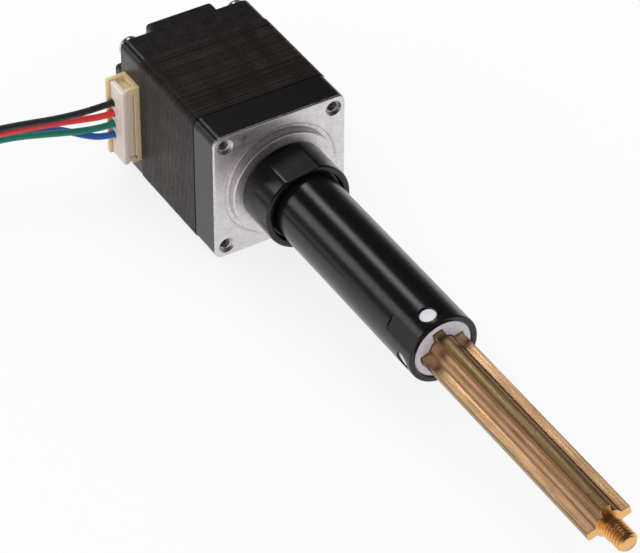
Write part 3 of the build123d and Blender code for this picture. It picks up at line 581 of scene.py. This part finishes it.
hole = [(5, BUTTON_R + 0.04), (6.66, BUTTON_R + 0.04), (7.4, BUTTON_R + 0.5)]
for quarter in range(4):
    turn = BUTTON_TURN + 90 * quarter
    combine(tube, form("hole", *skin(along_radius(turned(hole, 48), BUTTON_X, turn))))
settle(tube, "housing", anodise, "black_anodise", "guide_tube", crease=28.0)

# Leads
# Four stranded copper leads in thin vinyl, 1.3 mm across and 0.3 m long, crimped into the plug.
# Most of their length lies in one flat coil, a layer for each lead, tied once.
WIRE_R = 0.65
WIRE_X = -32.3
TERMINAL_Y = -15.9
PLUG_FACE_Y = -17.6
STRAIGHT = 2.0
FLOOR_Z = -14.0
COIL_CENTRE = (-34.0, -65.0)
COIL_FOOT = -13.5
LAYER = 1.4
TURN_START_R = 14.62
TURN_PITCH = 1.24
TURN_POINTS = 18
TURN_COUNT = 2.62
TIP_R = 9.9
TIP_ANGLES = (120.0, 108.0, 96.0, 84.0)
ROUTES = {
    "black": [(-32.8, -24.2, 2.8), (-34.2, -29.3, 2.4), (-36.6, -34.4, 1.7), (-39.2, -39.5, 0.6),
              (-42.0, -44.6, -1.9), (-44.7, -49.9, -5.4), (-46.8, -55.4, -7.7), (-48.1, -61.6, -8.65)],
    "red": [(-34.0, -24.4, 0.45), (-35.6, -29.3, 0.35), (-37.4, -34.6, 0.0), (-39.6, -39.4, -0.9),
            (-42.2, -44.7, -3.6), (-44.9, -50.0, -6.9), (-47.0, -55.4, -9.2), (-48.1, -61.7, -10.05)],
    "green": [(-33.5, -24.2, -1.95), (-35.3, -28.8, -1.9), (-37.9, -33.8, -2.2), (-40.1, -38.9, -2.8),
              (-42.6, -44.4, -5.3), (-45.0, -50.0, -8.6), (-47.1, -55.5, -10.8), (-48.1, -61.8, -11.45)],
    "blue": [(-34.4, -23.0, -4.0), (-37.3, -26.1, -3.3), (-39.4, -29.9, -3.1), (-41.1, -34.0, -3.4),
             (-42.6, -38.6, -4.4), (-43.9, -43.9, -7.1), (-45.5, -49.8, -10.3), (-47.2, -55.6, -12.3),
             (-48.1, -61.9, -12.85)],
}
HEIGHTS = {"black": 3.05, "red": 0.55, "green": -1.95, "blue": -4.45}
VINYL = {"black": (0.014, 0.013, 0.015), "red": (0.80, 0.035, 0.035),
         "green": (0.0, 0.20, 0.13), "blue": (0.002, 0.10, 0.42)}


def lead_points(name, layer):
    """The route as listed, then the coil by formula: in layer after layer, each lead's radius falls by the
    turn pitch in each turn, and at its end the lead leaves the spiral towards the coil's middle."""
    height = HEIGHTS[name]
    route = [(WIRE_X, TERMINAL_Y, height), (WIRE_X, PLUG_FACE_Y - STRAIGHT, height)] + ROUTES[name]
    last = np.array(route[-1][:2]) - COIL_CENTRE
    entry = math.degrees(math.atan2(last[1], last[0]))
    leave = TIP_ANGLES[layer] - 14.0
    span = math.floor(TURN_COUNT) * 360 + (leave - entry) % 360
    count = round(span / 360 * TURN_POINTS)
    angle = np.radians(entry + span * np.arange(1, count + 1) / count)
    turned_by = (angle - math.radians(entry)) / (2 * math.pi)
    radius = TURN_START_R - TURN_PITCH * turned_by
    radius *= 1 + 0.004 * np.sin(3.1 * angle + layer)
    z = COIL_FOOT + WIRE_R + layer * LAYER + 0.03 * np.sin(2.3 * angle + 2 * layer)
    coil = np.stack([COIL_CENTRE[0] + radius * np.cos(angle), COIL_CENTRE[1] + radius * np.sin(angle), z], -1)
    tip = math.radians(TIP_ANGLES[layer])
    end = np.array([COIL_CENTRE[0] + TIP_R * math.cos(tip), COIL_CENTRE[1] + TIP_R * math.sin(tip), z[-1]])
    return np.concatenate([np.array(route), coil, end[None]])


def lead(name, layer):
    """One lead as a round-bevelled NURBS line of order 3."""
    points = lead_points(name, layer) * MM
    curve = bpy.data.curves.new("lead_" + name, "CURVE")
    curve.dimensions = "3D"
    spline = curve.splines.new("NURBS")
    spline.points.add(len(points) - 1)
    spline.points.foreach_set("co", np.c_[points, np.ones(len(points))].ravel())
    spline.order_u = 3
    spline.use_endpoint_u = True
    curve.resolution_u = 6
    curve.bevel_depth = WIRE_R * MM
    curve.bevel_resolution = 5
    curve.use_fill_caps = True
    piece = bpy.data.objects.new("lead_" + name, curve)
    bpy.context.scene.collection.objects.link(piece)
    return piece


for layer, name in enumerate(("blue", "green", "red", "black")):
    wire = lead(name, layer)
    vinyl, tree, shader = material(name + "_vinyl", 0.38, Specular_IOR_Level=0.4)
    place = object_place(tree)
    faded = tuple(0.9 * c + 0.03 for c in VINYL[name])
    share = placed(tree, "mottle", Vector=place, Scale=900.0, Low=0.0, High=0.5)["Value"]
    tree.links.new(blend_colours(tree, share, (*VINYL[name], 1), (*faded, 1)), shader.inputs["Base Color"])
    ripple = placed(tree, "mottle", Vector=place, Scale=1600.0, Detail=4.0)["Value"]
    uneven(tree, shader, ripple, 0.15, 0.00005)
    wire.data.materials.append(vinyl)
    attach(wire, "housing")
    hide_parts("wire_" + name, "lead_coil")

# Guide bush
# White acetal with a splined hole that keeps the rod from turning.
# Its four moulded buttons spring into the tube's side holes and hold it there.
BUSH_REAR = 50.2
BUSH_FRONT = 55.8
SPLINE_R = 4.45
SPLINE_HALF = 0.96
CORE_R = 2.77
ROD_TURN = 16.0
RUNNING_GAP = 0.1
BUTTON_TOP = 6.575
BUTTON_DISH = 0.16
ACETAL_WHITE = (0.80, 0.77, 0.83)
ACETAL_GREY = (0.68, 0.64, 0.71)


def splined(clear, top_round, root_round, steps=4):
    """Outline of the four-spline section, grown by a clearance, and its outward directions."""
    tip, core, half = SPLINE_R + clear, CORE_R + clear, SPLINE_HALF + clear
    over = math.asin(half / tip)
    under = math.asin(half / core)
    top = np.linspace(-over, over, 5)
    valley = np.linspace(under, math.pi / 2 - under, 7)
    angles = np.concatenate([top, valley])
    radii = np.concatenate([np.full(5, tip), np.full(7, core)])
    rounds = np.array([top_round, 0, 0, 0, top_round, root_round, 0, 0, 0, 0, 0, root_round])
    angles = (angles[None] + np.arange(4)[:, None] * math.pi / 2 + math.radians(ROD_TURN)).ravel()
    corners = np.stack([np.cos(angles), np.sin(angles)], -1) * np.tile(radii, 4)[:, None]
    flat, outward = rounded(corners, np.tile(rounds, 4), steps)
    keep = (np.tile(rounds, 4)[:, None] > 0) | (np.arange(steps + 1) == steps // 2)
    return flat[keep.ravel()], outward[keep.ravel()]


flat, outward = splined(RUNNING_GAP, 0.1, 0.1)
x, inset = eased(BUSH_REAR, BUSH_FRONT, 0.12, 3)
hole = carried(flat, outward, x[::-1], -inset[::-1])
round_out = flat / np.linalg.norm(flat, axis=1)[:, None]
outside = carried(round_out * (TUBE_BORE - 0.01), round_out, x, inset)
bush = form("guide_bush_body", *skin(np.concatenate([outside, hole]), "joined"))

acetal, tree, shader = material("white_acetal", 0.42, Subsurface_Weight=0.25, Subsurface_Scale=0.0006)
place = object_place(tree)
chalk = placed(tree, "mottle", Vector=place, Scale=1500.0, Detail=5.0)["Value"]
tree.links.new(blend_colours(tree, chalk, (*ACETAL_WHITE, 1), (*ACETAL_GREY, 1)),
               shader.inputs["Base Color"])
uneven(tree, shader, chalk, 0.3, 0.00003)
settle(bush, "housing", acetal, "bush_acetal", "guide_bush", crease=35.0)
dish = np.linspace(0, 1, 6)
rim_r = BUTTON_R - 0.12
profile = [(5.0, BUTTON_R), (BUTTON_TOP - 0.1, BUTTON_R), (BUTTON_TOP - 0.03, BUTTON_R - 0.04),
           (BUTTON_TOP, rim_r)] + [(BUTTON_TOP - BUTTON_DISH * (1 - (1 - d) ** 2), max(rim_r * (1 - d), 0.02))
                                   for d in dish[1:]]
for quarter in range(4):
    button = along_radius(turned(profile, 48), BUTTON_X, BUTTON_TURN + 90 * quarter)
    button = form(f"bush_button_{quarter + 1}", *skin(button))
    settle(button, "housing", acetal, "bush_acetal", "guide_bush", crease=60.0, level=False)

# Splined rod
# Brass rod drawn with four splines, its end turned down behind a short neck to an M4 thread.
# A turned stop inside the tube meets the bush at full stroke.
ROD_START = 49.9
ROD_END = 106.4
NECK_R = 1.6
NECK_END = 107.2
STUD_END = 112.0
STUD_R = 2.0
STUD_PITCH = 0.7
STUD_DEPTH = 0.4
STUD_CHAMFER = 0.5
STOP_R = 5.5
WORN_FROM = 4.32        # radius where the worn tint of the splines' outer faces begins
WORN_FULL = 4.4
STOP_REAR = 47.9
VALLEY_BRASS = (0.66, 0.40, 0.22)
VALLEY_DULL = (0.40, 0.245, 0.13)
WORN_BRASS = (0.36, 0.24, 0.11)
WORN_DULL = (0.22, 0.15, 0.07)
CUT_BRASS = (0.86, 0.50, 0.20)

flat, outward = splined(0.0, 0.12, 0.22, 5)
x, inset = eased(ROD_START, ROD_END, 0.1, 3)
x = np.concatenate([x[:4], np.linspace(ROD_START, ROD_END, 12)[1:-1], x[4:]])
inset = np.concatenate([inset[:4], np.zeros(10), inset[4:]])
rod = form("splined_rod_body", *skin(carried(flat, outward, x, inset)))
angles = np.arange(72) * 2 * math.pi / 72
x = np.concatenate([[ROD_END - 1, ROD_END + 0.02], np.linspace(NECK_END - 0.12, STUD_END, 150)])
phase = np.mod((x[:, None] - NECK_END) / STUD_PITCH - angles[None] / (2 * math.pi), 1)
wave = np.clip(2.35 * np.abs(2 * phase - 1) - 0.62, 0, 1)
radius = STUD_R - STUD_DEPTH + STUD_DEPTH * wave
ends = np.minimum(np.clip(NECK_R + (x - NECK_END + 0.12) * 1.2, NECK_R, 9),
                  STUD_R - STUD_CHAMFER + np.maximum(STUD_END - x, 0))
radius = np.minimum(radius, ends[:, None])
radius[:3] = NECK_R
stud = form("splined_rod_stud", *skin(swept(x, radius, angles)))

brass, tree, shader = material("drawn_brass", 0.3, 1.0)
place = object_place(tree)
axes = add(tree, "SeparateXYZ", {0: place}).outputs
streak = placed(tree, "drawn lines", Vector=place, Squash=(0.02, 1, 1), Scale=3200.0)["Value"]
cloud = placed(tree, "mottle", Vector=place, Stretch=(0.5, 1, 1), Scale=330.0, Detail=4.0)["Value"]
patina = add(tree, "Math", {0: streak, 1: cloud}, operation="MULTIPLY").outputs[0]
tint = blend_colours(tree, patina, (*VALLEY_BRASS, 1), (*VALLEY_DULL, 1))
spread = add(tree, "Math", {0: axes["Y"], 1: axes["Y"]}, operation="MULTIPLY").outputs[0]
spread = add(tree, "Math", {0: axes["Z"], 1: axes["Z"], 2: spread}, operation="MULTIPLY_ADD").outputs[0]
outer_face = add(tree, "MapRange", {"Value": spread, "From Min": (WORN_FROM * MM) ** 2,
                                    "From Max": (WORN_FULL * MM) ** 2})
worn = blend_colours(tree, streak, (*WORN_BRASS, 1), (*WORN_DULL, 1))
tint = blend_colours(tree, outer_face.outputs[0], tint, worn)
fresh = add(tree, "MapRange", {"Value": axes["X"], "From Min": (ROD_END - 0.12) * MM,
                               "From Max": (ROD_END - 0.02) * MM})
tint = blend_colours(tree, fresh.outputs[0], tint, (*CUT_BRASS, 1))
tree.links.new(tint, shader.inputs["Base Color"])
rough = placed(tree, "drawn lines", Vector=place, Squash=(0.03, 1, 1), Scale=2200.0,
               Low=0.26, High=0.42)["Value"]
tree.links.new(rough, shader.inputs["Roughness"])
uneven(tree, shader, streak, 0.35, 0.00003)
settle(rod, "rod", brass, "rod_brass", "splined_rod", crease=24.0)
settle(stud, "rod", brass, "rod_brass", "splined_rod", crease=50.0, level=False)

# Lead screw and stop
# Steel screw with a four-start trapezoid thread; a turned shoulder on the rod is the stop.
SCREW_R = 2.38
SCREW_CORE = 1.85
SCREW_TAIL = -30.0
SCREW_LEAD = 6.35
SCREW_STARTS = 4
STEEL = (0.62, 0.61, 0.60)
STEEL_DULL = (0.42, 0.41, 0.40)

angles = np.arange(56) * 2 * math.pi / 56
x = np.linspace(SCREW_TAIL, STOP_REAR + 0.05, 560)
phase = np.mod(SCREW_STARTS * (x[:, None] / SCREW_LEAD - angles[None] / (2 * math.pi)), 1)
wave = np.clip(2.6 * np.abs(2 * phase - 1) - 0.8, 0, 1)
radius = SCREW_CORE + (SCREW_R - SCREW_CORE) * wave
radius = np.minimum(radius, 1.6 + np.abs(x - SCREW_TAIL)[:, None])
screw = form("lead_screw_thread", *skin(swept(x, radius, angles)))
ground, tree, shader = material("ground_steel", 0.25, 1.0)
place = object_place(tree)
film = placed(tree, "mottle", Vector=place, Scale=500.0)["Value"]
tree.links.new(blend_colours(tree, film, (*STEEL, 1), (*STEEL_DULL, 1)),
               shader.inputs["Base Color"])
rough = placed(tree, "drawn lines", Vector=place, Squash=(1, 0.05, 0.05), Scale=3000.0,
               Low=0.18, High=0.32)["Value"]
tree.links.new(rough, shader.inputs["Roughness"])
settle(screw, "rod", ground, "shaft_steel", "lead_screw", crease=30.0, level=False)
profile = section([(STOP_REAR, CORE_R - 0.4), (STOP_REAR, STOP_R), (ROD_START, STOP_R),
                   (ROD_START, CORE_R - 0.4)], [0.1, 0.25, 0.25, 0.1])
stop = form("stop_ring", *skin(turned(profile, 96), "joined"))
settle(stop, "rod", ground, "shaft_steel", "stop_ring")

# Connector header
# Moulded nylon, yellowish and slightly see-through, open towards the plug with one high wall at the rear.
# It is soldered to the small board behind it and stands in the cover's side opening.
HEADER_X = (-34.0, -28.25)
HEADER_Y = (-18.2, -14.8, -13.2)
HEADER_Z = (-9.4, 8.0)
WALL = 0.8
LIP_Y = -16.0
END_WALL_Y = -16.75
END_WALL_Z = 6.7
FRONT_WALL_Y = -15.1
HEADER_YELLOW = (0.80, 0.66, 0.40)
HEADER_DEEP = (0.72, 0.56, 0.31)
POCKET = (-33.1, -29.0, -17.5, -14.75, 6.95, 9.0)

header = form("connector_header", *brick(*HEADER_X, HEADER_Y[1], HEADER_Y[2], *HEADER_Z, 0.12, 0.3))
parts = [
    brick(HEADER_X[0], HEADER_X[0] + WALL, HEADER_Y[0], HEADER_Y[1] + 0.5, *HEADER_Z, 0.15, 0.35),
    brick(*HEADER_X, END_WALL_Y, HEADER_Y[1] + 0.5, END_WALL_Z, HEADER_Z[1], 0.15, 0.3),
    brick(*HEADER_X, LIP_Y, HEADER_Y[1] + 0.5, HEADER_Z[0], HEADER_Z[0] + WALL, 0.12, 0.2),
    brick(HEADER_X[1] - WALL, HEADER_X[1], FRONT_WALL_Y, HEADER_Y[1] + 0.5, HEADER_Z[0] + 1.4,
          HEADER_Z[1] - 0.6, 0.12, 0.2),
]
for part in parts:
    combine(header, form("part", *part), "UNION")
combine(header, form("pocket", *brick(*POCKET, corner=0.0)))

nylon, tree, shader = material("yellow_nylon", 0.4, Subsurface_Weight=0.55, Subsurface_Scale=0.0012,
                               Subsurface_Radius=(1.0, 0.7, 0.4))
place = object_place(tree)
cloud = placed(tree, "mottle", Vector=place, Scale=350.0)["Value"]
tree.links.new(blend_colours(tree, cloud, (*HEADER_YELLOW, 1), (*HEADER_DEEP, 1)),
               shader.inputs["Base Color"])
ripple = placed(tree, "mottle", Vector=place, Scale=900.0)["Value"]
uneven(tree, shader, ripple, 0.15, 0.00004)
settle(header, "housing", nylon, "header_nylon", "connector_header", crease=35.0)

# Plug
# Paler nylon housing pushed into the header, with a flange flush with the header's low wall.
# Each lead goes in through its own round hole and ends in a crimped terminal.
FLANGE_Y = -16.45
PLUG_X = (-33.1, -28.27)
PLUG_Z = (-9.35, 7.65)
SKIRT_X = (-33.05, -28.32)
SKIRT_Y = -15.15
SKIRT_Z = (-7.9, 6.65)
TAB_X = (-29.6, -28.3)
TAB_Y = -15.1
TAB_Z = (-8.95, -8.1)
PLUG_PALE = (0.80, 0.71, 0.63)
# Deeper yellow of painted shade, put on the plug towards the header.
PLUG_SHADE_YELLOW = (0.72, 0.58, 0.38)

plug = form("connector_plug", *brick(*PLUG_X, PLUG_FACE_Y, FLANGE_Y, *PLUG_Z, 0.25, 0.3))
combine(plug, form("part", *brick(*SKIRT_X, FLANGE_Y - 0.6, SKIRT_Y, *SKIRT_Z, 0.2, 0.2)), "UNION")
combine(plug, form("tab", *brick(*TAB_X, FLANGE_Y - 0.6, TAB_Y, *TAB_Z, 0.12, 0.2)), "UNION")
for height in HEIGHTS.values():
    hole = turned([(14.0, 0.78), (17.35, 0.78), (17.9, 1.05)], 32)
    hole = np.stack([hole[..., 1] + WIRE_X, -hole[..., 0], hole[..., 2] + height], -1)
    combine(plug, form("hole", *skin(hole)))

pale, tree, shader = material("pale_nylon", 0.38, Subsurface_Weight=0.6, Subsurface_Scale=0.0016,
                              Subsurface_Radius=(1.0, 0.75, 0.5))
place = object_place(tree)
axes = add(tree, "SeparateXYZ", {0: place}).outputs
# Painted shade: the colour turns to the deeper yellow towards the header, with a little noise.
header_shade = add(tree, "MapRange", {"Value": axes["Y"], "From Min": -16.9 * MM, "From Max": -14.6 * MM,
                              "To Min": 0.0, "To Max": 0.9}).outputs[0]
cloud = placed(tree, "mottle", Vector=place, Scale=300.0, Low=-0.1, High=0.2)["Value"]
header_shade = add(tree, "Math", {0: header_shade, 1: cloud}, operation="ADD").outputs[0]
tree.links.new(blend_colours(tree, header_shade, (*PLUG_PALE, 1), (*PLUG_SHADE_YELLOW, 1)),
               shader.inputs["Base Color"])
ripple = placed(tree, "mottle", Vector=place, Scale=700.0)["Value"]
uneven(tree, shader, ripple, 0.12, 0.00004)
settle(plug, "housing", pale, "plug_nylon", "connector_plug", crease=35.0)

# Camera
# It stands in front of the face and above it, where the photograph was taken from.
AZIMUTH = 58.747
ELEVATION = 40.155
ROLL = 0.281
DISTANCE = 614.5
AIM_ACROSS = -7.395
AIM_UP = 18.384
FOCAL_LENGTH = 186.78
SENSOR = 36.0
azimuth, elevation, roll = np.radians([AZIMUTH, ELEVATION, ROLL])
back = np.array([math.sin(azimuth) * math.cos(elevation), -math.cos(azimuth) * math.cos(elevation),
                 math.sin(elevation)])
level = np.cross(-back, (0, 0, 1))
level /= np.linalg.norm(level)
upright = np.cross(back, level)
right = math.cos(roll) * level + math.sin(roll) * upright
up = -math.sin(roll) * level + math.cos(roll) * upright
spot = -(right * AIM_ACROSS + up * AIM_UP - back * DISTANCE) * MM
camera = bpy.data.objects.new("camera", bpy.data.cameras.new("camera"))
bpy.context.scene.collection.objects.link(camera)
camera.rotation_mode = "QUATERNION"
turn = np.eye(4)
turn[:3, :3] = np.stack([right, up, back], -1)
turn[:3, 3] = spot
camera.matrix_world = Matrix(turn.tolist())
camera.data.lens = FOCAL_LENGTH
camera.data.sensor_width = SENSOR
camera.data.clip_start = 0.01
camera.data.clip_end = 20.0
bpy.context.scene.camera = camera

# Bench, lamps and world
# A white bench without an edge, and two soft lamps behind the motor, one of them lower.
# The world lights it evenly, and reflections see a dark room that is brighter towards the horizon.
REACH = 4.0
GLOW_SHARE = 0.8        # of the bench's look to the camera and in reflections
GLOSSY_DARK = (0.012, 0.010, 0.010)
GLOSSY_RIM = (0.34, 0.30, 0.33)
WORLD_WHITE = (1.0, 0.99, 1.0)

bench_mesh = bpy.data.meshes.new("bench")
bench_mesh.from_pydata([(-REACH, -REACH, FLOOR_Z * MM), (REACH, -REACH, FLOOR_Z * MM),
                        (REACH, REACH, FLOOR_Z * MM), (-REACH, REACH, FLOOR_Z * MM)], [], [(0, 1, 2, 3)])
bench = bpy.data.objects.new("bench", bench_mesh)
bpy.context.scene.collection.objects.link(bench)
white, tree, shader = material("white_bench", 0.9, Specular_IOR_Level=0.1)
shader.inputs["Base Color"].default_value = (0.86, 0.86, 0.86, 1)
rays = add(tree, "LightPath").outputs
seen = add(tree, "Math", {0: rays["Is Camera Ray"], 1: rays["Is Glossy Ray"]}, operation="MAXIMUM")
seen = add(tree, "Math", {0: seen.outputs[0], 1: rays["Is Transmission Ray"]}, operation="MAXIMUM")
share = add(tree, "Math", {0: seen.outputs[0], 1: GLOW_SHARE}, operation="MULTIPLY")
glow = add(tree, "Emission", {"Color": (1, 1, 1, 1), "Strength": 1.0})
mixed = add(tree, "MixShader", {0: share.outputs[0], 1: shader.outputs[0], 2: glow.outputs[0]})
tree.links.new(mixed.outputs[0], tree.nodes["Material Output"].inputs["Surface"])
bench_mesh.materials.append(white)


def lamp(name, toward, distance, size, power):
    """A soft rectangular lamp that looks at the motor from a direction."""
    toward = np.array(toward) / np.linalg.norm(toward)
    light = bpy.data.lights.new(name, "AREA")
    light.shape = "RECTANGLE"
    light.size, light.size_y = size
    light.energy = power
    made = bpy.data.objects.new(name, light)
    bpy.context.scene.collection.objects.link(made)
    made.location = toward * distance + np.array([0.02, 0, 0])
    made.rotation_mode = "QUATERNION"
    made.rotation_quaternion = Vector(toward).to_track_quat("Z", "Y")


lamp("lamp_behind", (-0.65, 0.03, 0.76), 0.9, (0.2, 0.3), 0.75)
lamp("lamp_left", (-0.65, -0.62, 0.42), 0.9, (0.2, 0.3), 0.5)
world = bpy.data.worlds.new("studio")
bpy.context.scene.world = world
world.use_nodes = True
tree = world.node_tree
glossy = add(tree, "LightPath").outputs["Is Glossy Ray"]
up = add(tree, "SeparateXYZ", {0: add(tree, "TexCoord").outputs["Generated"]}).outputs
rim = add(tree, "MapRange", {"Value": up["Z"], "From Min": 0.35, "From Max": 0.0})
dark = blend_colours(tree, rim.outputs[0], (*GLOSSY_DARK, 1), (*GLOSSY_RIM, 1))
shade = blend_colours(tree, glossy, (*WORLD_WHITE, 1), dark)
tree.links.new(shade, tree.nodes["Background"].inputs["Color"])

view = bpy.context.scene.view_settings
view.view_transform = "Standard"
